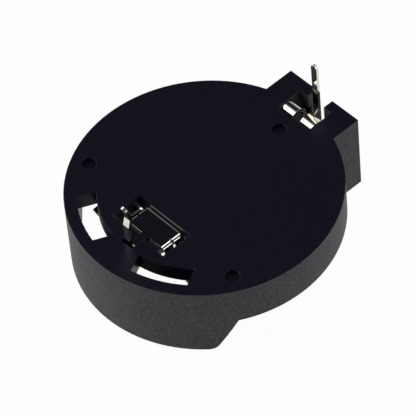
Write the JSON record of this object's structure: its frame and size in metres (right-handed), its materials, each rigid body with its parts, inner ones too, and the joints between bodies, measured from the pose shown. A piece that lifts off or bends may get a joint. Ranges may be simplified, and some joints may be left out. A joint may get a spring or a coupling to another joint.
{
  "type": "coin cell holder",
  "caption": "Through-hole holder that clips a 20 mm coin cell flat against a circuit board, with two plated spring contacts.",
  "frame": {"origin": "centre of the face that seats on the circuit board, on the axis of the cell", "axes": "+Z out of the board face, along the solder pins; +X towards the tab of the positive contact; the cell goes in from -Z"},
  "size_m": [0.0249, 0.0228, 0.012],
  "materials": {
    "housing": "satin",
    "contacts": "polished"
  },
  "bodies": {
    "root": {"housing": "housing", "positive_contact": "contacts", "negative_contact": "contacts"}
  },
  "joints": []
}
